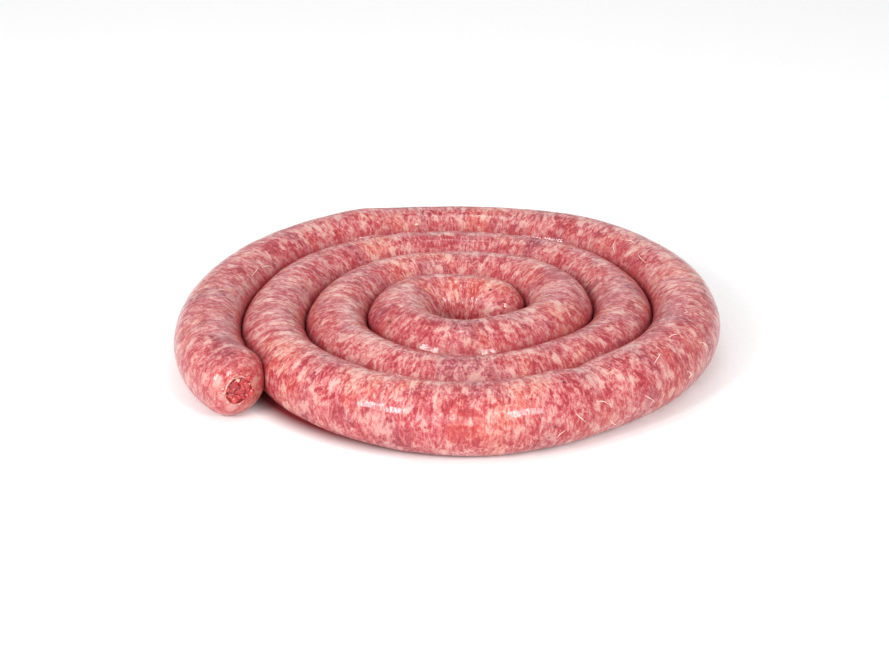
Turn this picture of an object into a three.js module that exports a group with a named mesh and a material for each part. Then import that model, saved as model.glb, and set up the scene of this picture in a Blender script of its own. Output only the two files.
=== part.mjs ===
// A fresh sausage in one long natural casing, laid flat on a table and wound into a spiral coil.
// The outer end is cut open and shows the minced filling; the inner end is closed and round.
// Units are millimetres, +Z is up, the coil rests on Z = 0 and its cut end faces -Y.
import * as THREE from 'three';

// Casing and filling
const casingRadius = 16.6;
const fillSwing = 0.9; // the filling is this much fuller or slacker than the mean radius
const fillPeriod = 900; // degrees of winding between two full stretches
const fillPeak = 140; // winding of the first full stretch
const pinchDepth = 0.7; // a slack spot in the outer turn
const pinchWinding = 268;
const pinchSpread = 5;
const slackDepth = 0.5; // and a longer slack stretch at the back
const slackWinding = 122;
const slackSpread = 22;
const bulgeHeight = 0.7; // and one over-full spot on the left at the back
const bulgeWinding = 94;
const bulgeSpread = 7;

// Spiral: the winding is the angle travelled clockwise from the cut end
const mouthHeading = 212; // compass direction of the cut end seen from the middle, degrees
const outerRadius = 129.1;
const turnPitch = 31.96;
const ovalCos = 1.78; // the coil is slightly oval
const ovalSin = 1.66;
const lobeCos = 0.63; // and slightly three-cornered
const lobeSin = 1.4;
const cornerDepth = 1; // with five soft corners where it was laid down by hand
const cornerHeading = -16;
const turnGap = 0.45; // clearance between turns that press on one another
const sag = 0.7; // the soft underside flattens by this much
const bendClearance = 6; // the tight inner bend squeezes in to stay this far from the middle

// Ends
const mouthWinding = 2.5; // where the round shoulder of the cut end begins
const shoulderLength = 14.5;
const shoulderPower = 2.5; // 2 is a round shoulder, more is a blunter one
const mouthLean = 1.9; // the cut end leans in towards the next turn
const mouthLeanSpread = 6;
const mouthRadius = 7;
const mouthDepth = 3.2;
const lumpHeight = 0.9;
const tipWinding = 1244; // where the round inner end begins
const tipLength = 15;

// Mesh fineness
const sides = 20;
const ringStep = 45; // degrees of winding per ring, times the root of the coil radius
const capRings = 6;

const toRadians = Math.PI / 180;

function heading(winding) {
  return (mouthHeading - winding) * toRadians;
}

// Fades from 1 at one winding to nothing a spread or two away.
function spot(winding, centre, spread) {
  return Math.exp(-(((winding - centre) / spread) ** 2));
}

function coilRadius(winding) {
  const angle = heading(winding);
  const plain = outerRadius - turnPitch * winding / 360;
  const oval = ovalCos * Math.cos(2 * angle) + ovalSin * Math.sin(2 * angle);
  const lobes = lobeCos * Math.cos(3 * angle) + lobeSin * Math.sin(3 * angle);
  const corners = cornerDepth * plain / outerRadius * Math.cos(5 * (angle - cornerHeading * toRadians));
  return plain + oval + lobes + corners - mouthLean * spot(winding, 0, mouthLeanSpread);
}

function fillRadius(winding) {
  const swing = fillSwing * Math.cos(2 * Math.PI * (winding - fillPeak) / fillPeriod);
  const pinch = pinchDepth * spot(winding, pinchWinding, pinchSpread);
  const slack = slackDepth * spot(winding, slackWinding, slackSpread);
  const bulge = bulgeHeight * spot(winding, bulgeWinding, bulgeSpread);
  return casingRadius + swing - pinch - slack + bulge;
}

// Length along the centreline turned into degrees of winding at one place on the coil.
function lengthAsWinding(length, winding) {
  return length / coilRadius(winding) / toRadians;
}

const shoulderWinding = lengthAsWinding(shoulderLength, mouthWinding);
const tipSpan = lengthAsWinding(tipLength, tipWinding);

// Share of the full radius that is left at a winding, falling to nothing past both ends.
function endTaper(winding) {
  const pastMouth = THREE.MathUtils.clamp((mouthWinding - winding) / shoulderWinding, 0, 1);
  const pastTip = THREE.MathUtils.clamp((winding - tipWinding) / tipSpan, 0, 1);
  return (1 - pastMouth ** shoulderPower) ** (1 / shoulderPower) * Math.sqrt(1 - pastTip ** 2);
}

// Half width towards a neighbouring turn: the two share the room between their centrelines.
function reach(winding, neighbour) {
  const own = fillRadius(winding) * endTaper(winding);
  const other = fillRadius(neighbour) * endTaper(neighbour);
  const room = Math.abs(coilRadius(winding) - coilRadius(neighbour)) - turnGap;
  return Math.min(fillRadius(winding), room * own / (own + other + 1e-6));
}

// Point of the casing at a winding, at an angle around the sausage and a share of its radius.
function casingPoint(winding, around, share, target) {
  const radius = fillRadius(winding);
  const inwardRadius = Math.min(radius, coilRadius(winding) - bendClearance);
  const halfWidth = Math.cos(around) < 0 ? inwardRadius : radius;
  const outward = THREE.MathUtils.clamp(
    share * halfWidth * Math.cos(around),
    -reach(winding, winding + 360),
    reach(winding, winding - 360),
  );
  const height = Math.max(radius - sag + share * radius * Math.sin(around), 0);
  const angle = heading(winding);
  const distance = coilRadius(winding) + outward;
  return target.set(distance * Math.cos(angle), distance * Math.sin(angle), height);
}

// Uneven surface of the mince inside the cut end, in degrees of winding.
function minceLump(around, share) {
  const lump = Math.sin(3 * around + 9 * share) * Math.cos(2 * around - 14 * share);
  return lengthAsWinding(lumpHeight * lump, mouthWinding);
}

// Profile of the straightened sausage: x is the share of the radius, y the winding.
function straightProfile() {
  const profile = [];
  const mouthShare = mouthRadius / fillRadius(0);
  const rimAngle = Math.acos(mouthShare ** (shoulderPower / 2));
  const rimWinding = mouthWinding - shoulderWinding * Math.sin(rimAngle) ** (2 / shoulderPower);
  const floorWinding = rimWinding + lengthAsWinding(mouthDepth, mouthWinding);
  for (const share of [0, 0.4, 0.75]) {
    profile.push(new THREE.Vector2(share * mouthShare, floorWinding));
  }
  profile.push(new THREE.Vector2(0.96 * mouthShare, floorWinding - 0.3));
  profile.push(new THREE.Vector2(mouthShare, rimWinding + 0.2));
  for (let ring = 0; ring < capRings; ring += 1) {
    const angle = rimAngle * (1 - ring / capRings);
    const share = Math.cos(angle) ** (2 / shoulderPower) + 0.02 * (1 - ring / capRings);
    const past = Math.sin(angle) ** (2 / shoulderPower);
    profile.push(new THREE.Vector2(Math.min(share, 1), mouthWinding - shoulderWinding * past));
  }
  let winding = mouthWinding;
  while (winding < tipWinding) {
    profile.push(new THREE.Vector2(1, winding));
    winding += ringStep / Math.sqrt(coilRadius(winding));
  }
  for (let ring = 0; ring <= capRings; ring += 1) {
    const angle = Math.PI / 2 * ring / capRings;
    const share = ring === capRings ? 0 : Math.cos(angle);
    profile.push(new THREE.Vector2(share, tipWinding + tipSpan * Math.sin(angle)));
  }
  return profile;
}

// Turns the straight sausage into the coil, one vertex at a time.
function windUp(geometry) {
  const position = geometry.attributes.position;
  const point = new THREE.Vector3();
  const mouthShare = mouthRadius / fillRadius(0);
  for (let index = 0; index < position.count; index += 1) {
    point.fromBufferAttribute(position, index);
    const share = Math.hypot(point.x, point.z);
    const around = share > 0 ? Math.atan2(point.x, point.z) + Math.PI / sides : 0;
    let winding = point.y;
    if (share < 0.8 * mouthShare && winding < mouthWinding) {
      winding += minceLump(around, share);
    }
    casingPoint(winding, around, share, point);
    position.setXYZ(index, point.x, point.y, point.z);
  }
}

const sausageShape = new THREE.LatheGeometry(straightProfile(), sides);
windUp(sausageShape);
sausageShape.computeBoundingBox();
const middle = sausageShape.boundingBox.getCenter(new THREE.Vector3());
sausageShape.translate(-middle.x, -middle.y, 0);

const rawMeat = new THREE.MeshStandardMaterial({ color: 0xc46b6b, roughness: 0.35, metalness: 0 });
const sausage = new THREE.Mesh(sausageShape, rawMeat);
sausage.name = 'sausage';

const group = new THREE.Group();
group.name = 'coiled_sausage';
group.add(sausage);

export default group;
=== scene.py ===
import bpy
import math
import random
import numpy as np
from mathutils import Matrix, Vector, noise


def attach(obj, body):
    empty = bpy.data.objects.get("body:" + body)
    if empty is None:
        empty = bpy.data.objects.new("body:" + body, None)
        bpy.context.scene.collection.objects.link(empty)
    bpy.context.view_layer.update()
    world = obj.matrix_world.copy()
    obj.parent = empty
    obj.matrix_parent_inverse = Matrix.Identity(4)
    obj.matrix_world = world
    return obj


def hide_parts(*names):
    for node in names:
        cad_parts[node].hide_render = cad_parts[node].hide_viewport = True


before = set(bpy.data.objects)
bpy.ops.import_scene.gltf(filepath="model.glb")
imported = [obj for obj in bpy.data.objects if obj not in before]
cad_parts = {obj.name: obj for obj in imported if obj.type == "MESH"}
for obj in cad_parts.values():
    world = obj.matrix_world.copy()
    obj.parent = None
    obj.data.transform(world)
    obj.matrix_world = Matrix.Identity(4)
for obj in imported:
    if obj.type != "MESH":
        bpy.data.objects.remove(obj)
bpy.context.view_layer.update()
bpy.ops.object.select_all(action="DESELECT")


# ---------------------------------------------------------------- the sausage
# One fresh pork sausage in a single long natural casing, laid flat and wound into a
# coil of three and a half turns. The turns press on one another and on the table, the
# outer end is cut open and the inner end is closed and round.

MM = 0.001

casing_radius = 16.6 * MM
fill_swing = 0.9 * MM       # how much fuller or slacker the filling runs
fill_period = 900.0         # degrees of winding between two full stretches
fill_peak = 140.0
pinch_depth = 0.9 * MM      # a slack spot in the outer turn
pinch_winding = 268.0
pinch_spread = 5.0
slack_depth = 0.5 * MM      # and a longer slack stretch at the back
slack_winding = 122.0
slack_spread = 22.0
bulge_height = 0.7 * MM     # and one over-full spot on the left at the back
bulge_winding = 94.0
bulge_spread = 7.0

mouth_heading = 212.0       # compass direction of the cut end seen from the middle
outer_radius = 129.1 * MM
turn_pitch = 31.96 * MM
oval_cos, oval_sin = 1.78 * MM, 1.66 * MM
lobe_cos, lobe_sin = 0.63 * MM, 1.4 * MM
corner_depth = 1.0 * MM     # five soft corners where the coil was laid down by hand
corner_heading = -16.0
turn_gap = 0.2 * MM         # clearance between turns that press on one another
sag = 0.7 * MM              # the soft underside flattens by this much
bend_clearance = 6 * MM     # the tight inner bend squeezes in this far from the middle
widest_bulge = 1.2          # a turn never spreads wider than this share of its radius
soft_swell = (0.35 * MM, 26 * MM)       # height and size of the unevenness of the filling
soft_lump = (0.16 * MM, 9 * MM)
fine_pimple = (0.07 * MM, 3.2 * MM)
pimple_stretch = (1, 0.6, 0.6)          # the finest lumps are longer round the sausage
lump_fade = 1.5             # the lumps fade out towards the middle of each end

mouth_winding = 2.5         # where the round shoulder of the cut end begins
shoulder_length = 14.5 * MM
shoulder_power = 2.5        # 2 is a round shoulder, more is a blunter one
mouth_lean = 1.9 * MM       # the cut end leans in towards the next turn
mouth_lean_spread = 6.0
mouth_radius = 7.0 * MM
mouth_depth = 2.6 * MM
tip_winding = 1244.0        # where the round inner end begins
tip_length = 15 * MM


def heading(winding):
    """Compass direction of a place along the winding, in radians."""
    return np.radians(mouth_heading - winding)


def coil_radius(winding):
    """How far the middle line of the sausage is from the middle of the coil."""
    angle = heading(winding)
    plain = outer_radius - turn_pitch * winding / 360
    oval = oval_cos * np.cos(2 * angle) + oval_sin * np.sin(2 * angle)
    lobes = lobe_cos * np.cos(3 * angle) + lobe_sin * np.sin(3 * angle)
    corners = corner_depth * plain / outer_radius * np.cos(5 * (angle - math.radians(corner_heading)))
    return plain + oval + lobes + corners - mouth_lean * np.exp(-(winding / mouth_lean_spread) ** 2)


def fill_radius(winding):
    """Radius of the filled casing, which runs fuller and slacker."""
    swing = fill_swing * np.cos(2 * np.pi * (winding - fill_peak) / fill_period)
    pinch = pinch_depth * np.exp(-((winding - pinch_winding) / pinch_spread) ** 2)
    slack = slack_depth * np.exp(-((winding - slack_winding) / slack_spread) ** 2)
    bulge = bulge_height * np.exp(-((winding - bulge_winding) / bulge_spread) ** 2)
    return casing_radius + swing - pinch - slack + bulge


def length_as_winding(length, winding):
    """A short length of sausage as degrees of winding."""
    return np.degrees(length / coil_radius(winding))


shoulder_winding = length_as_winding(shoulder_length, mouth_winding)
tip_span = length_as_winding(tip_length, tip_winding)


def end_taper(winding):
    """Share of the full radius that is left towards each end."""
    past_mouth = np.clip((mouth_winding - winding) / shoulder_winding, 0, 1)
    past_tip = np.clip((winding - tip_winding) / tip_span, 0, 1)
    return (1 - past_mouth ** shoulder_power) ** (1 / shoulder_power) * np.sqrt(1 - past_tip ** 2)


def reach(winding, neighbour):
    """Half width towards a neighbouring turn: the two share the room between them."""
    own = fill_radius(winding) * end_taper(winding)
    other = fill_radius(neighbour) * end_taper(neighbour)
    room = np.abs(coil_radius(winding) - coil_radius(neighbour)) - turn_gap
    return np.minimum(fill_radius(winding) * widest_bulge, room * own / (own + other + 1e-9))


def casing_point(winding, around, share, lift):
    """Points of the casing, raised off the plain round section by lift, and how hard each presses."""
    radius = fill_radius(winding)
    inward_radius = np.minimum(radius, coil_radius(winding) - bend_clearance)
    across = np.cos(around)
    half_width = np.where(across < 0, inward_radius, radius)
    outward = (share * half_width + lift) * across
    inner_wall = reach(winding, winding + 360)
    outer_wall = reach(winding, winding - 360)
    clearance = np.minimum(outer_wall - outward, outward + inner_wall)
    outward = np.clip(outward, -inner_wall, outer_wall)
    height = np.maximum(radius - sag + (share * radius + lift) * np.sin(around), 0)
    angle = heading(winding)
    distance = coil_radius(winding) + outward
    points = np.stack([distance * np.cos(angle), distance * np.sin(angle), height], axis=-1)
    return points, clearance


def soft_noise(places, size, seed):
    """Smooth noise from about -1 to 1 at places given in metres, with lumps of the given size."""
    shift = Vector((seed * 17.3, seed * 5.1, seed * 9.7))
    return np.array([noise.noise(Vector(p) / size + shift) for p in places])


def skin_lift(along, around, share):
    """The mince pushes the casing into soft lumps, and the filling runs a little uneven."""
    across = share * casing_radius
    straight = np.stack([along, across * np.cos(around), across * np.sin(around)], axis=-1)
    lift = soft_swell[0] * soft_noise(straight, soft_swell[1], 1)
    lift += soft_lump[0] * soft_noise(straight, soft_lump[1], 2)
    lift += fine_pimple[0] * soft_noise(straight * np.array(pimple_stretch), fine_pimple[1], 3)
    return lift * np.clip(share * lump_fade, 0, 1)


# The rows of the straight sausage: share of the radius and winding of each, from the floor
# of the cut end, over its rim and shoulder, along the body and round the closed end.
row_length = 1.3 * MM
sides = 72
floor_rows = 12
floor_reach = 0.96          # share of the mouth that the floor fills
wall_steps = (0.3, 0.6, 0.9)
wall_rows = len(wall_steps)
shoulder_rows = 16
tip_rows = 15
fine_steps = 20000
rim_row = floor_rows + wall_rows
torn_wide = 0.28            # the rim is torn wider on its outer side, and wavy all round
torn_narrow = 0.22
torn_low = 0.22             # and less torn at the bottom
torn_wave = 0.06
torn_wave_size = 0.45       # as a share of the hole's radius
floor_relief = 0.9 * MM
floor_relief_size = 0.09    # as a share of the casing's radius
mouth_share = mouth_radius / fill_radius(0.0)
rim_angle = math.acos(mouth_share ** (shoulder_power / 2))
rim_winding = mouth_winding - shoulder_winding * math.sin(rim_angle) ** (2 / shoulder_power)
floor_winding = rim_winding + length_as_winding(mouth_depth, mouth_winding)
rows = [(mouth_share * step, floor_winding) for step in np.linspace(0, floor_reach, floor_rows)]
rows += [(mouth_share, floor_winding + (rim_winding - floor_winding) * step) for step in wall_steps]
for step in np.linspace(1, 0, shoulder_rows, endpoint=False):
    bend = rim_angle * step
    rows.append((math.cos(bend) ** (2 / shoulder_power),
                 mouth_winding - shoulder_winding * math.sin(bend) ** (2 / shoulder_power)))
fine = np.linspace(mouth_winding, tip_winding, fine_steps)
length_along = np.concatenate([[0], np.cumsum(np.radians(np.diff(fine)) * coil_radius(fine[:-1]))])
body_rows = int(length_along[-1] / row_length)
for winding in np.interp(np.linspace(0, length_along[-1], body_rows), length_along, fine):
    rows.append((1.0, winding))
for angle in np.linspace(0, math.pi / 2, tip_rows)[1:]:
    rows.append((math.cos(angle), tip_winding + tip_span * math.sin(angle)))
rows[-1] = (0.0, rows[-1][1])       # the last row closes in one point
row_share, row_winding = np.array(rows).T


def length_to(winding):
    """Length of sausage from its cut shoulder to a winding."""
    before = np.minimum(winding - mouth_winding, 0) * outer_radius * math.radians(1)
    after = np.maximum(winding - tip_winding, 0) * coil_radius(tip_winding) * math.radians(1)
    return np.interp(winding, fine, length_along) + before + after


def rim_wobble(share, around):
    """How much wider the torn rim is here than a true circle; the shoulder takes it up."""
    circle = np.stack([np.cos(around), np.sin(around), 0 * around], axis=-1)
    wave = np.where(circle[:, 0] > 0, torn_wide, torn_narrow) * circle[:, 0]
    wave += torn_low * np.minimum(circle[:, 1], 0) + torn_wave * soft_noise(circle, torn_wave_size, 7)
    return 1 + wave * np.clip((1 - share) / (1 - mouth_share), 0, 1)


def floor_bumps(share, around):
    """The mince in the cut end is uneven; returned as winding."""
    disc = share[:, None] * np.stack([np.cos(around), np.sin(around), 0 * around], axis=-1)
    return length_as_winding(floor_relief * soft_noise(disc, floor_relief_size, 8), mouth_winding)


bpy.ops.mesh.primitive_grid_add(x_subdivisions=sides, y_subdivisions=len(rows) - 1, size=2)
sausage = bpy.context.object
sausage.name = "sausage_in_casing"
mesh = sausage.data
flat = np.empty(len(mesh.vertices) * 3)
mesh.vertices.foreach_get("co", flat)
flat = flat.reshape(-1, 3)
row = np.rint((flat[:, 1] + 1) / 2 * (len(rows) - 1)).astype(int)
around = -math.pi / 2 + (flat[:, 0] + 1) * math.pi
share = row_share[row] * rim_wobble(row_share[row], around)
winding = row_winding[row] + np.where(row < floor_rows, floor_bumps(share, around), 0)
along = length_to(winding)
points, clearance = casing_point(winding, around, share, skin_lift(along, around, share))
coil_middle = (points.min(axis=0) + points.max(axis=0)) / 2 * np.array([1, 1, 0])
points -= coil_middle
mesh.vertices.foreach_set("co", points.ravel())

# Kept for the material: the middle of the sausage beside each point, how near the next turn is (for painted
# shade in the creases between turns), how near the cut end is, and which part is the bare inside of the cut.
crease_shade_reach = 2.8 * MM
opening_reach = 9 * MM
bend_angle = heading(winding)
middle_line = np.stack([coil_radius(winding) * np.cos(bend_angle) - coil_middle[0],
                        coil_radius(winding) * np.sin(bend_angle) - coil_middle[1],
                        fill_radius(winding) - sag], axis=-1)
middle = mesh.attributes.new("middle", "FLOAT_VECTOR", "POINT")
middle.data.foreach_set("vector", (middle_line / MM).ravel())
# Painted shade: near 1 where the next turn is close, so that the creases between turns are darkened.
crease_shade = mesh.attributes.new("crease_shade", "FLOAT", "POINT")
crease_shade.data.foreach_set("value", np.exp(-np.maximum(clearance, 0) / crease_shade_reach))
opening = mesh.attributes.new("opening", "FLOAT", "POINT")
from_rim = np.maximum(along - along[row == rim_row].mean(), 0)
opening.data.foreach_set("value", np.exp(-from_rim / opening_reach))
inside = mesh.attributes.new("inside", "FLOAT", "POINT")
inside.data.foreach_set("value", (row < rim_row).astype(float))

bpy.ops.object.mode_set(mode="EDIT")
bpy.ops.mesh.select_all(action="SELECT")
bpy.ops.mesh.remove_doubles(threshold=1e-6)
bpy.ops.mesh.normals_make_consistent(inside=False)
bpy.ops.object.mode_set(mode="OBJECT")
bpy.ops.object.shade_smooth()


def linear(hex_colour):
    """An sRGB hex colour as the linear colour that a shader takes."""
    channels = [int(hex_colour[i:i + 2], 16) / 255 for i in (1, 3, 5)]
    return [c / 12.92 if c <= 0.04045 else ((c + 0.055) / 1.055) ** 2.4 for c in channels] + [1.0]


def empty_material(name):
    """A new material and its node tree, with no node in it yet."""
    made = bpy.data.materials.new(name)
    made.use_nodes = True
    made.node_tree.nodes.clear()
    return made, made.node_tree


def add_node(tree, kind, inputs=None, **settings):
    """Adds one shader node with its settings; inputs are values, or sockets to link from."""
    made = tree.nodes.new(kind)
    for name, value in settings.items():
        setattr(made, name, value)
    for socket, value in (inputs or {}).items():
        if isinstance(value, bpy.types.NodeSocket):
            tree.links.new(value, made.inputs[socket])
        else:
            made.inputs[socket].default_value = value
    return made


def set_ramp(ramp_node, stops):
    """Colour stops of a ramp, as pairs of place and hex colour."""
    ramp = ramp_node.color_ramp
    while len(ramp.elements) > 1:
        ramp.elements.remove(ramp.elements[-1])
    ramp.elements[0].position = stops[0][0]
    ramp.elements[0].color = linear(stops[0][1])
    for place, colour in stops[1:]:
        ramp.elements.new(place).color = linear(colour)


# Coarse raw pork mince seen through a moist hog casing: chopped red lean and pale fat, smeared
# round the sausage by the stuffing, under a thin clear skin with fine wrinkles and a wet gloss.
mince_drawn_out = 1.65      # how much longer the pieces lie round the sausage than along it
fat_lump = 5.5              # mm, spacing of the larger lumps of fat
mince_piece = 2.9           # mm, chopped pieces of meat and fat
lace_size = 1.9             # mm, dark lean spots in a lace of fine tissue
mince_crumb = 1.3           # mm, what has broken up between them
swirl_size, swirl_shift = 5.0, 2.6      # mm, size of the swirls and how far they carry a piece
ragged_size, ragged_shift = 1.0, 1.5    # mm, the same for the ragged edges
fat_patch = 11.0            # mm, stretches with more or less fat
hue_patch = 22.0            # mm, stretches of fresh red, dull purple and salmon meat
tissue_wave = 2.6           # mm, wandering threads of fine white tissue
ripple_width = 0.8          # mm, fine wrinkles of the casing
ripple_drawn_out = 6.0
ripple_shift = 4.0          # mm, how far the swirls carry a wrinkle
piece_weight, crumb_weight, lace_weight = 0.46, 1.9, 0.45       # what each adds to the paleness
patch_weight, ripple_weight = 0.70, 0.98
tone_shift = -1.77          # brings the sum into the range of the colour ramps
tissue_width = 0.022        # how near to its middle value the noise still draws tissue
crease_shade_strength = 0.85      # share of painted shade, in deep red, in the creases where two turns press on one another
opening_reddening = 0.34    # share of raw red in the skin beside the cut end

mince, tree = empty_material("raw_mince_in_moist_casing")
middle_at = add_node(tree, "ShaderNodeAttribute", attribute_name="middle").outputs["Vector"]
place = add_node(tree, "ShaderNodeTexCoord").outputs["Object"]
place_mm = add_node(tree, "ShaderNodeVectorMath", {0: place, 3: 1000.0}, operation="SCALE").outputs[0]
drawn = add_node(tree, "ShaderNodeMix", {0: 1 / mince_drawn_out, 4: middle_at, 5: place_mm},
                 data_type="VECTOR").outputs[1]

# The pieces are swirled by the stuffing, and their edges are ragged.
swirl = add_node(tree, "ShaderNodeTexNoise", {"Vector": drawn, "Scale": 1 / swirl_size, "Detail": 1.0})
swirl_by = add_node(tree, "ShaderNodeVectorMath", {0: swirl.outputs["Color"], 1: (0.5, 0.5, 0.5)},
                    operation="SUBTRACT").outputs[0]
swirled = add_node(tree, "ShaderNodeVectorMath", {0: swirl_by, 1: (swirl_shift,) * 3, 2: drawn},
                   operation="MULTIPLY_ADD").outputs[0]
ragged = add_node(tree, "ShaderNodeTexNoise", {"Vector": place_mm, "Scale": 1 / ragged_size, "Detail": 2.0})
ragged_by = add_node(tree, "ShaderNodeVectorMath", {0: ragged.outputs["Color"], 1: (0.5, 0.5, 0.5)},
                     operation="SUBTRACT").outputs[0]
torn = add_node(tree, "ShaderNodeVectorMath", {0: ragged_by, 1: (ragged_shift,) * 3, 2: swirled},
                operation="MULTIPLY_ADD").outputs[0]

# Fine wrinkles round the sausage.
ripple_drawn = add_node(tree, "ShaderNodeMix", {0: 1 / ripple_drawn_out, 4: middle_at, 5: place_mm},
                        data_type="VECTOR").outputs[1]
ripple_at = add_node(tree, "ShaderNodeVectorMath", {0: swirl_by, 1: (ripple_shift,) * 3, 2: ripple_drawn},
                     operation="MULTIPLY_ADD").outputs[0]
ripple = add_node(tree, "ShaderNodeTexNoise", {"Vector": ripple_at, "Scale": 1 / ripple_width,
                                               "Detail": 2.0, "Roughness": 0.5}).outputs["Fac"]

# Paleness of the mince: chopped pieces, dark lean spots in a pale lace, crumbs, fine streaks, and
# fatter stretches.
pieces = add_node(tree, "ShaderNodeTexVoronoi",
                  {"Vector": torn, "Scale": 1 / mince_piece, "Smoothness": 0.45}, feature="SMOOTH_F1")
piece_tone = add_node(tree, "ShaderNodeSeparateColor", {"Color": pieces.outputs["Color"]}).outputs[0]
lace = add_node(tree, "ShaderNodeTexVoronoi", {"Vector": torn, "Scale": 1 / lace_size}).outputs["Distance"]
crumbs = add_node(tree, "ShaderNodeTexNoise", {"Vector": swirled, "Scale": 1 / mince_crumb, "Detail": 4.0,
                                               "Roughness": 0.8}).outputs["Fac"]
patch = add_node(tree, "ShaderNodeTexNoise", {"Vector": drawn, "Scale": 1 / fat_patch,
                                              "Detail": 2.0}).outputs["Fac"]
tone_a = add_node(tree, "ShaderNodeMath", {0: piece_tone, 1: piece_weight, 2: tone_shift},
                  operation="MULTIPLY_ADD").outputs[0]
tone_b = add_node(tree, "ShaderNodeMath", {0: crumbs, 1: crumb_weight, 2: tone_a},
                  operation="MULTIPLY_ADD").outputs[0]
tone_c = add_node(tree, "ShaderNodeMath", {0: lace, 1: lace_weight, 2: tone_b},
                  operation="MULTIPLY_ADD").outputs[0]
tone_d = add_node(tree, "ShaderNodeMath", {0: patch, 1: patch_weight, 2: tone_c},
                  operation="MULTIPLY_ADD").outputs[0]
tone_e = add_node(tree, "ShaderNodeMath", {0: ripple, 1: ripple_weight, 2: tone_d},
                  operation="MULTIPLY_ADD").outputs[0]
lumps_of_fat = add_node(tree, "ShaderNodeTexVoronoi", {"Vector": torn, "Scale": 1 / fat_lump})
lump_near = add_node(tree, "ShaderNodeMapRange", {"Value": lumps_of_fat.outputs["Distance"],
                                                  "From Min": 0.46, "From Max": 0.18}).outputs[0]
lump_kind = add_node(tree, "ShaderNodeSeparateColor", {"Color": lumps_of_fat.outputs["Color"]}).outputs[1]
lump_is_fat = add_node(tree, "ShaderNodeMapRange",
                       {"Value": lump_kind, "From Min": 0.40, "From Max": 0.66, "To Max": 0.46}).outputs[0]
tone = add_node(tree, "ShaderNodeMath", {0: lump_near, 1: lump_is_fat, 2: tone_e},
                operation="MULTIPLY_ADD").outputs[0]

fresh = add_node(tree, "ShaderNodeValToRGB", {"Fac": tone})
set_ramp(fresh, [(0.10, "#92252F"), (0.32, "#AA3F45"), (0.50, "#B86065"), (0.68, "#C4807B"),
                 (0.95, "#D0A098")])
dull = add_node(tree, "ShaderNodeValToRGB", {"Fac": tone})
set_ramp(dull, [(0.10, "#7B2636"), (0.32, "#94404B"), (0.50, "#A65A60"), (0.68, "#B47472"),
                (0.95, "#C4958E")])
hue = add_node(tree, "ShaderNodeTexNoise", {"Vector": torn, "Scale": 1 / hue_patch, "Detail": 3.0,
                                            "Roughness": 0.6, "Distortion": 0.8})
dull_share = add_node(tree, "ShaderNodeMapRange",
                      {"Value": hue.outputs["Fac"], "From Min": 0.50, "From Max": 0.66}).outputs[0]
meat = add_node(tree, "ShaderNodeMix", {0: dull_share, 6: fresh.outputs[0], 7: dull.outputs[0]},
                data_type="RGBA").outputs[2]
salmon_tone = add_node(tree, "ShaderNodeSeparateColor", {"Color": hue.outputs["Color"]}).outputs[1]
salmon_share = add_node(tree, "ShaderNodeMapRange",
                        {"Value": salmon_tone, "From Min": 0.50, "From Max": 0.66}).outputs[0]
salmon = add_node(tree, "ShaderNodeValToRGB", {"Fac": tone})
set_ramp(salmon, [(0.10, "#A43433"), (0.32, "#B64D48"), (0.50, "#C2685F"), (0.68, "#CB8478"),
                  (0.95, "#D4A698")])
meat = add_node(tree, "ShaderNodeMix", {0: salmon_share, 6: meat, 7: salmon.outputs[0]},
                data_type="RGBA").outputs[2]

# Fine white tissue: where a noise crosses its middle value it draws a thin wandering line.
tissue_noise = add_node(tree, "ShaderNodeTexNoise",
                        {"Vector": torn, "Scale": 1 / tissue_wave, "Detail": 1.0}).outputs["Fac"]
tissue_off = add_node(tree, "ShaderNodeMath", {0: tissue_noise, 1: 0.5}, operation="SUBTRACT").outputs[0]
tissue_near = add_node(tree, "ShaderNodeMath", {0: tissue_off}, operation="ABSOLUTE").outputs[0]
tissue_where = add_node(tree, "ShaderNodeMapRange",
                        {"Value": patch, "From Min": 0.40, "From Max": 0.62, "To Max": 0.55}).outputs[0]
tissue = add_node(tree, "ShaderNodeMapRange", {"Value": tissue_near, "From Min": 0.0,
                                               "From Max": tissue_width, "To Min": tissue_where,
                                               "To Max": 0.0}).outputs[0]
meat = add_node(tree, "ShaderNodeMix", {0: tissue, 6: meat, 7: linear("#D6A9A1")},
                data_type="RGBA").outputs[2]

crease_shade_at = add_node(tree, "ShaderNodeAttribute", attribute_name="crease_shade").outputs["Fac"]
crease_shade_share = add_node(tree, "ShaderNodeMath", {0: crease_shade_at, 1: crease_shade_strength},
                       operation="MULTIPLY").outputs[0]
# Painted shade: the creases between turns are darkened towards deep red.
crease_shaded_meat = add_node(tree, "ShaderNodeMix", {0: crease_shade_share, 6: meat, 7: linear("#962B33")},
                  data_type="RGBA").outputs[2]
opening_at = add_node(tree, "ShaderNodeAttribute", attribute_name="opening").outputs["Fac"]
opening_share = add_node(tree, "ShaderNodeMath", {0: opening_at, 1: opening_reddening},
                         operation="MULTIPLY").outputs[0]
skin = add_node(tree, "ShaderNodeMix", {0: opening_share, 6: crease_shaded_meat, 7: linear("#B54C48")},
                data_type="RGBA").outputs[2]

inside_at = add_node(tree, "ShaderNodeAttribute", attribute_name="inside").outputs["Fac"]
raw = add_node(tree, "ShaderNodeValToRGB", {"Fac": tone})
set_ramp(raw, [(0.2, "#901A24"), (0.5, "#AC3034"), (0.8, "#C2584F")])
skin = add_node(tree, "ShaderNodeMix", {0: inside_at, 6: skin, 7: raw.outputs[0]},
                data_type="RGBA").outputs[2]

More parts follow.
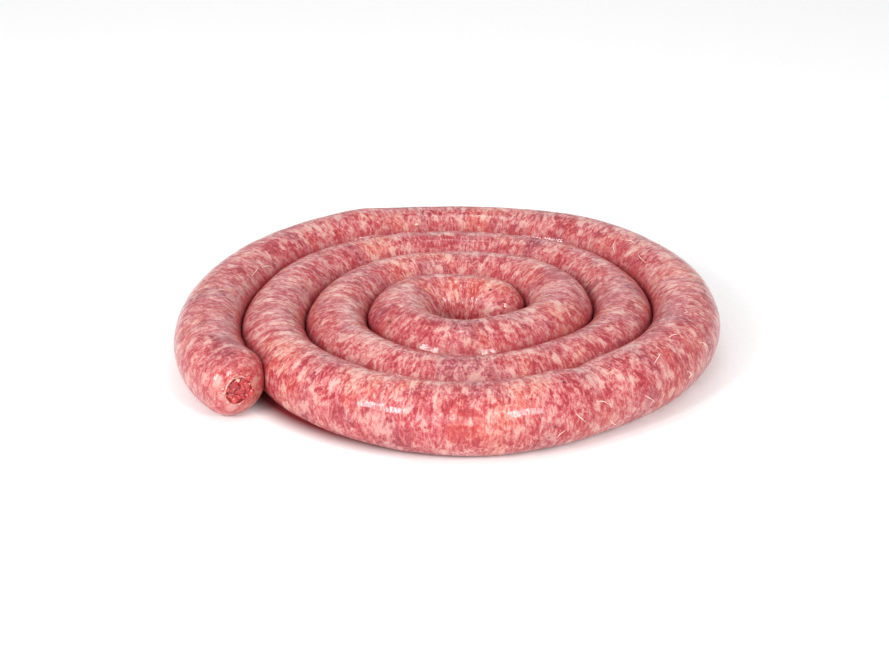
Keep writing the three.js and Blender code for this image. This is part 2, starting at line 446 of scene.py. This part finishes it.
# The meat under the skin is lumpy, and the wet skin itself only finely rippled.
lumps = add_node(tree, "ShaderNodeMath", {0: tone, 1: 0.7, 2: ripple}, operation="MULTIPLY_ADD").outputs[0]
meat_relief = add_node(tree, "ShaderNodeBump",
                       {"Strength": 0.5, "Distance": 0.3 * MM, "Height": lumps}).outputs[0]
skin_relief = add_node(tree, "ShaderNodeBump",
                       {"Strength": 0.3, "Distance": 0.13 * MM, "Height": ripple}).outputs[0]
shader = add_node(tree, "ShaderNodeBsdfPrincipled", {
    "Base Color": skin, "Roughness": 0.55, "IOR": 1.38, "Specular IOR Level": 0.25, "Subsurface Weight": 0.06,
    "Subsurface Radius": (1.0, 0.35, 0.25), "Subsurface Scale": 0.7 * MM, "Normal": meat_relief,
    "Coat Weight": 0.65, "Coat Roughness": 0.09, "Coat IOR": 1.45, "Coat Normal": skin_relief})
add_node(tree, "ShaderNodeOutputMaterial", {"Surface": shader.outputs[0]})
mesh.materials.clear()
mesh.materials.append(mince)

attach(sausage, "root")
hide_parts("sausage")


# ---------------------------------------------------------------- mince in the cut end
# Coarse mince shows bare where the casing is cut open: wet dark red lean with a few salmon
# and pale lumps, deeper on the outer side of the hole and level with its rim on the other.

def coil_point(winding, across, up):
    """A place beside the middle line of the sausage: out from the coil and up, in metres."""
    angle = heading(winding)
    distance = coil_radius(winding) + across
    place = np.array([distance * np.cos(angle), distance * np.sin(angle), fill_radius(winding) - sag + up])
    return place - coil_middle


broad_bump, fine_bump = 1.1, 0.4    # sizes as shares of the lump
fine_bump_share = 0.3


def add_lump(place, radius, roughness, seed, squash=(1, 1, 1), tone=0.5):
    """A soft lump round a place, its surface pushed in and out by noise, with its own tone."""
    bpy.ops.mesh.primitive_ico_sphere_add(subdivisions=3, radius=1)
    lump = bpy.context.object.data
    ball = np.array([v.co for v in lump.vertices])
    bumps = soft_noise(ball, broad_bump, seed) + fine_bump_share * soft_noise(ball, fine_bump, seed)
    shaped = ball * (1 + roughness * bumps)[:, None] * np.array(squash) * radius + np.array(place)
    lump.vertices.foreach_set("co", shaped.ravel())
    lump.attributes.new("tone", "FLOAT", "POINT").data.foreach_set("value", np.full(len(ball), tone))
    return bpy.context.object


def join_as(name, things):
    """Joins meshes into one object with shared corners merged and faces turned outward."""
    bpy.ops.object.select_all(action="DESELECT")
    for thing in things:
        thing.select_set(True)
    bpy.context.view_layer.objects.active = things[0]
    bpy.ops.object.join()
    bpy.ops.object.mode_set(mode="EDIT")
    bpy.ops.mesh.select_all(action="SELECT")
    bpy.ops.mesh.remove_doubles(threshold=1e-6)
    bpy.ops.mesh.normals_make_consistent(inside=False)
    bpy.ops.object.mode_set(mode="OBJECT")
    bpy.ops.object.shade_smooth()
    joined = bpy.context.object
    joined.name = name
    return joined


# Larger lumps, in mm: out from the coil, up, depth behind the rim, radius; and tone from lean to fat.
large_lumps = [(7.2, 1.8, 3.0, 2.2, 0.58), (6.6, -2.2, 2.8, 2.2, 0.54), (4.4, -4.4, 1.6, 2.4, 0.56),
               (3.6, 2.6, 2.4, 2.6, 0.34), (0.2, -0.2, 2.2, 3.0, 0.38), (-2.2, 2.4, 1.6, 2.4, 0.56),
               (1.6, 6.0, 0.6, 1.1, 0.95), (-3.8, 2.4, 0.5, 0.8, 0.95), (-0.6, -4.0, 2.2, 2.6, 0.28),
               (-4.0, -2.0, 1.5, 2.4, 0.48), (-3.4, 5.0, 1.5, 2.2, 0.44), (1.8, 5.2, 2.6, 2.4, 0.30),
               (6.2, 4.6, 3.0, 2.2, 0.22), (3.4, -1.4, 2.9, 2.2, 0.16)]
lump_roughness = 0.45
large_squash = (1, 0.75, 0.85)
small_lumps = 64
small_squash = (1, 0.7, 0.8)
small_radius = (1.2, 2.1)       # mm, smallest and largest
small_spread = 5.5              # mm, how far from the middle of the hole they reach
small_shift = 0.8               # mm, their middle lies further out from the coil
small_depth = 1.9               # mm behind the rim
small_slope = 0.10              # and deeper on the outer side
small_stray = (-0.4, 0.6)       # mm
small_tones = (0.12, 0.24, 0.34, 0.44, 0.58)
draw = random.Random(5)
lumps_made = []
for number, (across, up, depth, radius, tone_of) in enumerate(large_lumps):
    back = rim_winding + length_as_winding(depth * MM, mouth_winding)
    place = coil_point(back, across * MM, up * MM)
    lumps_made.append(add_lump(place, radius * MM, lump_roughness, 20 + number, large_squash, tone_of))
for number in range(small_lumps):
    spin, out = draw.uniform(0, 2 * math.pi), small_spread * math.sqrt(draw.random())
    depth = small_depth + small_slope * out * math.cos(spin) + draw.uniform(*small_stray)
    back = rim_winding + length_as_winding(depth * MM, mouth_winding)
    place = coil_point(back, (out * math.cos(spin) + small_shift) * MM, out * math.sin(spin) * MM)
    tone_of = draw.choice(small_tones)
    radius = draw.uniform(*small_radius) * MM
    lumps_made.append(add_lump(place, radius, lump_roughness, 40 + number, small_squash, tone_of))
bare_mince = join_as("mince_in_cut_end", lumps_made)

# Raw lean mince, wet from cutting: dark red with pale fat, fibrous, with small sharp glints.
fibre_width = 0.9 * MM
bare, tree = empty_material("wet_raw_mince")
place = add_node(tree, "ShaderNodeTexCoord").outputs["Object"]
own_tone = add_node(tree, "ShaderNodeAttribute", attribute_name="tone").outputs["Fac"]
fibre = add_node(tree, "ShaderNodeTexNoise", {"Vector": place, "Scale": 1 / fibre_width,
                                              "Detail": 3.0}).outputs["Fac"]
fibre_tone = add_node(tree, "ShaderNodeMath", {0: fibre, 1: 0.5, 2: -0.25},
                      operation="MULTIPLY_ADD").outputs[0]
lump_tone = add_node(tree, "ShaderNodeMath", {0: own_tone, 1: fibre_tone}, operation="ADD").outputs[0]
lump_colour = add_node(tree, "ShaderNodeValToRGB", {"Fac": lump_tone})
set_ramp(lump_colour, [(0.05, "#720D17"), (0.25, "#971B25"), (0.45, "#B12E32"), (0.62, "#C8504A"),
                       (0.95, "#DDA898")])
grain = add_node(tree, "ShaderNodeBump", {"Strength": 0.5, "Distance": 0.2 * MM, "Height": fibre}).outputs[0]
shader = add_node(tree, "ShaderNodeBsdfPrincipled", {
    "Base Color": lump_colour.outputs[0], "Roughness": 0.35, "IOR": 1.4, "Subsurface Weight": 0.1,
    "Subsurface Radius": (1.0, 0.3, 0.2), "Subsurface Scale": 0.6 * MM, "Normal": grain,
    "Coat Weight": 0.8, "Coat Roughness": 0.08, "Coat IOR": 1.45})
add_node(tree, "ShaderNodeOutputMaterial", {"Surface": shader.outputs[0]})
bare_mince.data.materials.clear()
bare_mince.data.materials.append(bare)

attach(bare_mince, "root")


# ---------------------------------------------------------------- torn edge of the casing
# The cut edge of the casing has curled into a thin pale lip over the outer half of the
# hole, with small beads of fat and gristle stuck to the skin beside it.

def on_casing(winding, around, above):
    """A place on the casing: winding, degrees round it from its outer side, and height off it in metres."""
    winding, around = np.array([winding]), np.radians([around])
    full = end_taper(winding)
    points, _ = casing_point(winding, around, full, skin_lift(length_to(winding), around, full) + above)
    return points[0] - coil_middle


strand_widths = (0.55, 1.0, 1.0, 0.9, 0.45)     # shares of the full radius, from end to end


def add_strand(path, radius):
    """A thin strand that follows five places and tapers towards both ends."""
    bpy.ops.curve.primitive_nurbs_path_add()
    strand = bpy.context.object
    curve = strand.data
    spline = curve.splines[0]
    spline.order_u = 3
    spline.use_endpoint_u = True
    for point, place, width in zip(spline.points, path, strand_widths):
        point.co = (*place, 1)
        point.radius = width
    curve.resolution_u = 5
    curve.bevel_depth = radius
    curve.bevel_resolution = 2
    curve.use_fill_caps = True
    bpy.ops.object.convert(target="MESH")
    return bpy.context.object


lip_from, lip_to = -78, 112     # degrees round the hole from its outer side
lip_strands = 9
lip_radius = 0.5 * MM
lip_fall = 0.33                 # share of its way out that the edge falls back over the shoulder
strand_overlap = (4, 6)         # degrees by which a strand runs past its share at each end
strand_out = (0.1, 0.8)         # mm outside the rim
strand_swell = (0.6, 1.2)
beads = 26
bead_turn = (0, 95)             # degrees round the hole
bead_out = (0.5, 3.8)           # mm outside the rim
bead_radius = (0.25, 0.6)       # mm
bead_roughness = 0.4
bead_squash = (1, 0.8, 0.8)
draw = random.Random(11)


def lip_point(around, out):
    """A place on the torn rim, a little outside it."""
    turn = np.radians([around])
    width = mouth_share * rim_wobble(np.full(1, mouth_share), turn)[0] + out / casing_radius
    back = rim_winding + length_as_winding(lip_fall * out, mouth_winding)
    radius = width * fill_radius(back)
    return coil_point(back, radius * math.cos(turn[0]), radius * math.sin(turn[0]))


lip_made = []
for number in range(lip_strands):
    start = lip_from + (lip_to - lip_from) * number / lip_strands
    end = start + (lip_to - lip_from) / lip_strands
    turns = np.linspace(start - strand_overlap[0], end + strand_overlap[1], len(strand_widths))
    path = [lip_point(turn, draw.uniform(*strand_out) * MM) for turn in turns]
    lip_made.append(add_strand(path, lip_radius * draw.uniform(*strand_swell)))
for number in range(beads):
    turn, out = draw.uniform(*bead_turn), draw.uniform(*bead_out)
    place = lip_point(turn, out * MM)
    radius = draw.uniform(*bead_radius) * MM
    lip_made.append(add_lump(place, radius, bead_roughness, 90 + number, bead_squash))
lip = join_as("torn_casing_edge", lip_made)

# Natural casing torn and curled up on itself: milky pink, crinkled and wet, so that it glints.
cloud_size = 1.6 * MM
membrane, tree = empty_material("wet_pale_membrane")
place = add_node(tree, "ShaderNodeTexCoord").outputs["Object"]
cloud = add_node(tree, "ShaderNodeTexNoise", {"Vector": place, "Scale": 1 / cloud_size,
                                              "Detail": 3.0}).outputs["Fac"]
milky = add_node(tree, "ShaderNodeValToRGB", {"Fac": cloud})
set_ramp(milky, [(0.3, "#B55B58"), (0.5, "#C9827C"), (0.7, "#DDB0A8")])
crinkle = add_node(tree, "ShaderNodeBump", {"Strength": 0.4, "Distance": 0.1 * MM,
                                            "Height": cloud}).outputs[0]
shader = add_node(tree, "ShaderNodeBsdfPrincipled", {
    "Base Color": milky.outputs[0], "Roughness": 0.35, "IOR": 1.38, "Normal": crinkle,
    "Coat Weight": 1.0, "Coat Roughness": 0.08, "Coat IOR": 1.45})
add_node(tree, "ShaderNodeOutputMaterial", {"Surface": shader.outputs[0]})
lip.data.materials.clear()
lip.data.materials.append(membrane)

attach(lip, "root")


# ---------------------------------------------------------------- threads on the casing
# Short stiff threads of connective tissue and casing fibre left on the skin, cream coloured,
# a few millimetres long, lying on it or curling off it.
thread_radius = 0.19 * MM
thread_rise = 0.5 * MM      # how far a thread arches off the skin
# Each thread runs through these places: winding, and degrees round the casing.
threads = [[(239.9, 75), (238.2, 75), (236.9, 70)], [(248.2, 60), (247.5, 58), (249.6, 54), (251.3, 49)],
           [(242.4, 12), (240.9, 6), (241.0, 0), (241.6, -3)], [(271.0, 28), (268.9, 25), (267.4, 16)],
           [(257.4, 8), (255.5, -2), (253.9, -13)], [(276.9, 16), (275.8, 8), (274.4, -2)],
           [(267.3, -13), (266.2, -22), (264.6, -32)], [(171.6, 118), (172.4, 131), (174.5, 140)],
           [(182.7, 122), (184.9, 125), (187.9, 125)], [(223.4, 89), (224.2, 84), (224.8, 82), (225.6, 86)],
           [(47.0, 132), (49.3, 131), (51.5, 129)], [(52.9, 133), (54.6, 136), (56.4, 142)],
           [(125.1, 116), (127.3, 114), (129.5, 114)], [(174.3, 108), (176.0, 104), (177.8, 106)],
           [(279.6, -8), (281.0, -12), (281.4, -20)], [(233.6, 38), (231.8, 30), (231.0, 20)]]
threads_made = []
for number, nodes in enumerate(threads):
    steps = np.linspace(0, len(nodes) - 1, len(strand_widths))
    windings, turns = np.array(nodes).T
    path = []
    for step in steps:
        arch = math.sin(math.pi * step / (len(nodes) - 1))
        at = np.interp(step, range(len(nodes)), windings), np.interp(step, range(len(nodes)), turns)
        path.append(on_casing(*at, thread_radius * 0.4 + thread_rise * arch * (number % 3) / 2))
    threads_made.append(add_strand(path, thread_radius))
stray_at = (178.8, 56)      # a stray thread stands off the skin at the back: winding, degrees round
stray_leans = ((0, -0.1), (0.25, 0.6), (0.1, 1.2), (-0.15, 1.8), (0.05, 2.4))   # degrees, and mm up
stray = [on_casing(stray_at[0] + lean, stray_at[1] + 2 * lean, rise * MM) for lean, rise in stray_leans]
threads_made.append(add_strand(stray, thread_radius * 0.9))
thread_piece = join_as("casing_threads", threads_made)

# Connective tissue that has begun to dry: cream to white, smooth and only a little shiny.
streak_size = 1.2 * MM
gristle, tree = empty_material("cream_tissue_thread")
place = add_node(tree, "ShaderNodeTexCoord").outputs["Object"]
streak = add_node(tree, "ShaderNodeTexNoise", {"Vector": place, "Scale": 1 / streak_size,
                                               "Detail": 2.0}).outputs["Fac"]
cream = add_node(tree, "ShaderNodeValToRGB", {"Fac": streak})
set_ramp(cream, [(0.35, "#DDAA9A"), (0.6, "#F2E0D4")])
shader = add_node(tree, "ShaderNodeBsdfPrincipled", {"Base Color": cream.outputs[0], "Roughness": 0.4})
add_node(tree, "ShaderNodeOutputMaterial", {"Surface": shader.outputs[0]})
thread_piece.data.materials.clear()
thread_piece.data.materials.append(gristle)

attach(thread_piece, "root")


# ---------------------------------------------------------------- crushed pepper
# A few flakes of crushed black pepper in the seasoning, lying against the inside of the
# clear casing, so that each shows as a small dark speck.
pepper_sunk = 0.02 * MM
# Where each flake lies, winding and degrees round the casing, and its radius in mm.
flakes = [(353.9, 47, 0.5), (277.3, 70, 0.65), (282.1, 2, 0.65), (283.3, -17, 0.45), (1074.2, 50, 0.65),
          (80.6, 90, 0.45), (661.0, 63, 0.35), (608.6, 83, 0.4), (1258.5, 108, 0.65), (272.4, 46, 0.3),
          (305.0, 30, 0.3), (20.0, 60, 0.35), (430.0, 75, 0.3), (760.0, 95, 0.35), (150.0, 30, 0.4)]
flake_roughness = 0.5
flake_squash = ((0.8, 1.3), (0.6, 1.0), (0.5, 0.8))     # least and most along each axis
draw = random.Random(3)
flakes_made = []
for number, (winding_at, around_at, radius) in enumerate(flakes):
    place = on_casing(winding_at, around_at, -pepper_sunk)
    squash = [draw.uniform(*span) for span in flake_squash]
    flakes_made.append(add_lump(place, radius * MM, flake_roughness, 130 + number, squash))
pepper_piece = join_as("pepper_flakes", flakes_made)

# Crushed black peppercorn: a dull dark brown husk with paler broken faces.
husk_size = 0.5 * MM
pepper, tree = empty_material("crushed_black_pepper")
place = add_node(tree, "ShaderNodeTexCoord").outputs["Object"]
husk = add_node(tree, "ShaderNodeTexNoise", {"Vector": place, "Scale": 1 / husk_size,
                                             "Detail": 2.0}).outputs["Fac"]
dark = add_node(tree, "ShaderNodeValToRGB", {"Fac": husk})
set_ramp(dark, [(0.4, "#241C1C"), (0.7, "#5A4238")])
shader = add_node(tree, "ShaderNodeBsdfPrincipled", {"Base Color": dark.outputs[0], "Roughness": 0.6})
add_node(tree, "ShaderNodeOutputMaterial", {"Surface": shader.outputs[0]})
pepper_piece.data.materials.clear()
pepper_piece.data.materials.append(pepper)

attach(pepper_piece, "root")


# ---------------------------------------------------------------- crumbs of mince
# Soft crumbs of raw mince outside the casing: a few squashed under the front of the coil
# and one pale crumb on top at the back.
table_crumbs = [(-2.6, -113.6, 1.2), (19.9, -113.6, 1.4), (23.0, -113.9, 1.1)]  # x, y and radius, mm
crumb_on_top = (108.0, 134, 1.2)    # winding, degrees round, radius in mm
flat_roughness, flat_squash, flat_tone = 0.3, (1.3, 0.8, 0.4), 0.5      # the squashed crumbs
top_roughness, top_squash, top_tone = 0.5, (1.0, 0.8, 0.7), 0.8
top_above = 0.1 * MM
crumbs_made = []
for number, (x, y, radius) in enumerate(table_crumbs):
    place = (x * MM, y * MM, radius * 0.5 * MM)
    crumbs_made.append(add_lump(place, radius * MM, flat_roughness, 160 + number, flat_squash, flat_tone))
place = on_casing(crumb_on_top[0], crumb_on_top[1], top_above)
crumbs_made.append(add_lump(place, crumb_on_top[2] * MM, top_roughness, 170, top_squash, top_tone))
crumb_piece = join_as("mince_crumbs", crumbs_made)

# Fatty mince smeared to a crumb: pale pink, soft at its edges, with a faint wet gloss.
mottle_size = 0.8 * MM
smear, tree = empty_material("pale_mince_crumb")
place = add_node(tree, "ShaderNodeTexCoord").outputs["Object"]
own_tone = add_node(tree, "ShaderNodeAttribute", attribute_name="tone").outputs["Fac"]
mottle = add_node(tree, "ShaderNodeTexNoise", {"Vector": place, "Scale": 1 / mottle_size,
                                               "Detail": 2.0}).outputs["Fac"]
crumb_tone = add_node(tree, "ShaderNodeMath", {0: mottle, 1: 0.5, 2: own_tone},
                      operation="MULTIPLY_ADD").outputs[0]
crumb_colour = add_node(tree, "ShaderNodeValToRGB", {"Fac": crumb_tone})
set_ramp(crumb_colour, [(0.6, "#B8605A"), (0.9, "#D39A8E"), (1.0, "#E3BBA6")])
shader = add_node(tree, "ShaderNodeBsdfPrincipled", {
    "Base Color": crumb_colour.outputs[0], "Roughness": 0.4, "Coat Weight": 0.6, "Coat Roughness": 0.15})
add_node(tree, "ShaderNodeOutputMaterial", {"Surface": shader.outputs[0]})
crumb_piece.data.materials.clear()
crumb_piece.data.materials.append(smear)

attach(crumb_piece, "root")


# ---------------------------------------------------------------- table, light and view
# A plain matt white board in soft studio light: a white surround, two narrow softboxes on
# each side, a panel in front, a small panel and a low wall of light behind, one overhead.
board_size = 8              # metres
board_grain = 2.5 * MM      # drawn this coarse so that it shows at all
surround_strength = 0.72
bpy.ops.object.select_all(action="DESELECT")
bpy.ops.mesh.primitive_plane_add(size=board_size)
table = bpy.context.object
table.name = "white_table"
# Matt white laminate: an almost even white with a faint grain and no reflection to see.
board, tree = empty_material("matt_white_board")
board_place = add_node(tree, "ShaderNodeTexCoord").outputs["Object"]
grain = add_node(tree, "ShaderNodeTexNoise", {"Vector": board_place, "Scale": 1 / board_grain, "Detail": 2.0})
board_colour = add_node(tree, "ShaderNodeValToRGB", {"Fac": grain.outputs["Fac"]})
set_ramp(board_colour, [(0.3, "#F4F4F4"), (0.7, "#F8F8F8")])
# Painted shade under the coil, reddened like light bounced off the meat: the board turns deep red near the
# middle of the coil.
painted_shade_edge = 0.119          # metres from the middle of the coil
painted_shade_fade = 0.012          # metres over which the painted shade fades out
from_middle = add_node(tree, "ShaderNodeVectorMath", {0: board_place}, operation="LENGTH").outputs["Value"]
painted_shade_share = add_node(tree, "ShaderNodeMapRange", {"Value": from_middle, "From Min": painted_shade_edge,
                                              "From Max": painted_shade_edge - painted_shade_fade}).outputs[0]
board_with_painted_shade = add_node(tree, "ShaderNodeMix", {0: painted_shade_share, 6: board_colour.outputs[0], 7: linear("#8A2F36")},
                     data_type="RGBA").outputs[2]
shader = add_node(tree, "ShaderNodeBsdfPrincipled",
                  {"Base Color": board_with_painted_shade, "Roughness": 0.7, "Specular IOR Level": 0.2})
add_node(tree, "ShaderNodeOutputMaterial", {"Surface": shader.outputs[0]})
table.data.materials.append(board)

surround = bpy.data.worlds.new("white_surround")
surround.use_nodes = True
surround.node_tree.nodes["Background"].inputs["Color"].default_value = (1.0, 1.0, 1.0, 1.0)
surround.node_tree.nodes["Background"].inputs["Strength"].default_value = surround_strength
scene = bpy.context.scene
scene.world = surround
scene.view_settings.view_transform = "Standard"
scene.view_settings.look = "None"

coil_place = Vector((-coil_middle[0], -coil_middle[1], 0))


def add_softbox(name, azimuth, elevation, distance, size, power):
    """A studio light that faces the coil; azimuth 0 is the camera's side, -Y."""
    light = bpy.data.lights.new(name, "AREA")
    light.shape = "RECTANGLE"
    light.size, light.size_y = size
    light.energy = power
    lamp = bpy.data.objects.new(name, light)
    scene.collection.objects.link(lamp)
    turn, rise = math.radians(azimuth), math.radians(elevation)
    offset = Vector((math.sin(turn) * math.cos(rise), -math.cos(turn) * math.cos(rise), math.sin(rise)))
    lamp.location = coil_place + offset * distance
    lamp.rotation_euler = (-offset).to_track_quat("-Z", "Y").to_euler()


# Direction in degrees, distance and size in metres, and power in watts.
add_softbox("softbox_left_outer", -53, 31, 1.4, (0.14, 0.42), 5.2)
add_softbox("softbox_left_inner", -40, 31, 1.4, (0.14, 0.42), 5.4)
add_softbox("softbox_right_inner", 27, 31, 1.4, (0.10, 0.40), 3.4)
add_softbox("softbox_right_outer", 36, 31, 1.4, (0.10, 0.40), 3.2)
add_softbox("front_panel", -8, 22, 1.4, (0.8, 0.5), 5.4)
add_softbox("back_panel", 180, 68, 1.4, (0.2, 0.2), 0.6)
add_softbox("back_wall", 180, 24, 1.6, (0.9, 0.4), 0.8)
add_softbox("overhead", 0, 88, 1.5, (1.2, 1.2), 2)

view_elevation = math.radians(25.61)
view_distance = 0.9533      # metres
focal_length_px = 1824.04
frame_width_px = 889
aim_offset = (-9.61 * MM, 20.69 * MM, 0.35 * MM)       # what the camera looks at, from the middle
aim = coil_place + Vector(aim_offset)
camera_data = bpy.data.cameras.new("view")
camera_data.sensor_width = 36
camera_data.lens = focal_length_px * camera_data.sensor_width / frame_width_px
camera = bpy.data.objects.new("view", camera_data)
scene.collection.objects.link(camera)
camera.location = aim + Vector((0, -math.cos(view_elevation), math.sin(view_elevation))) * view_distance
camera.rotation_euler = (math.pi / 2 - view_elevation, 0, 0)
scene.camera = camera
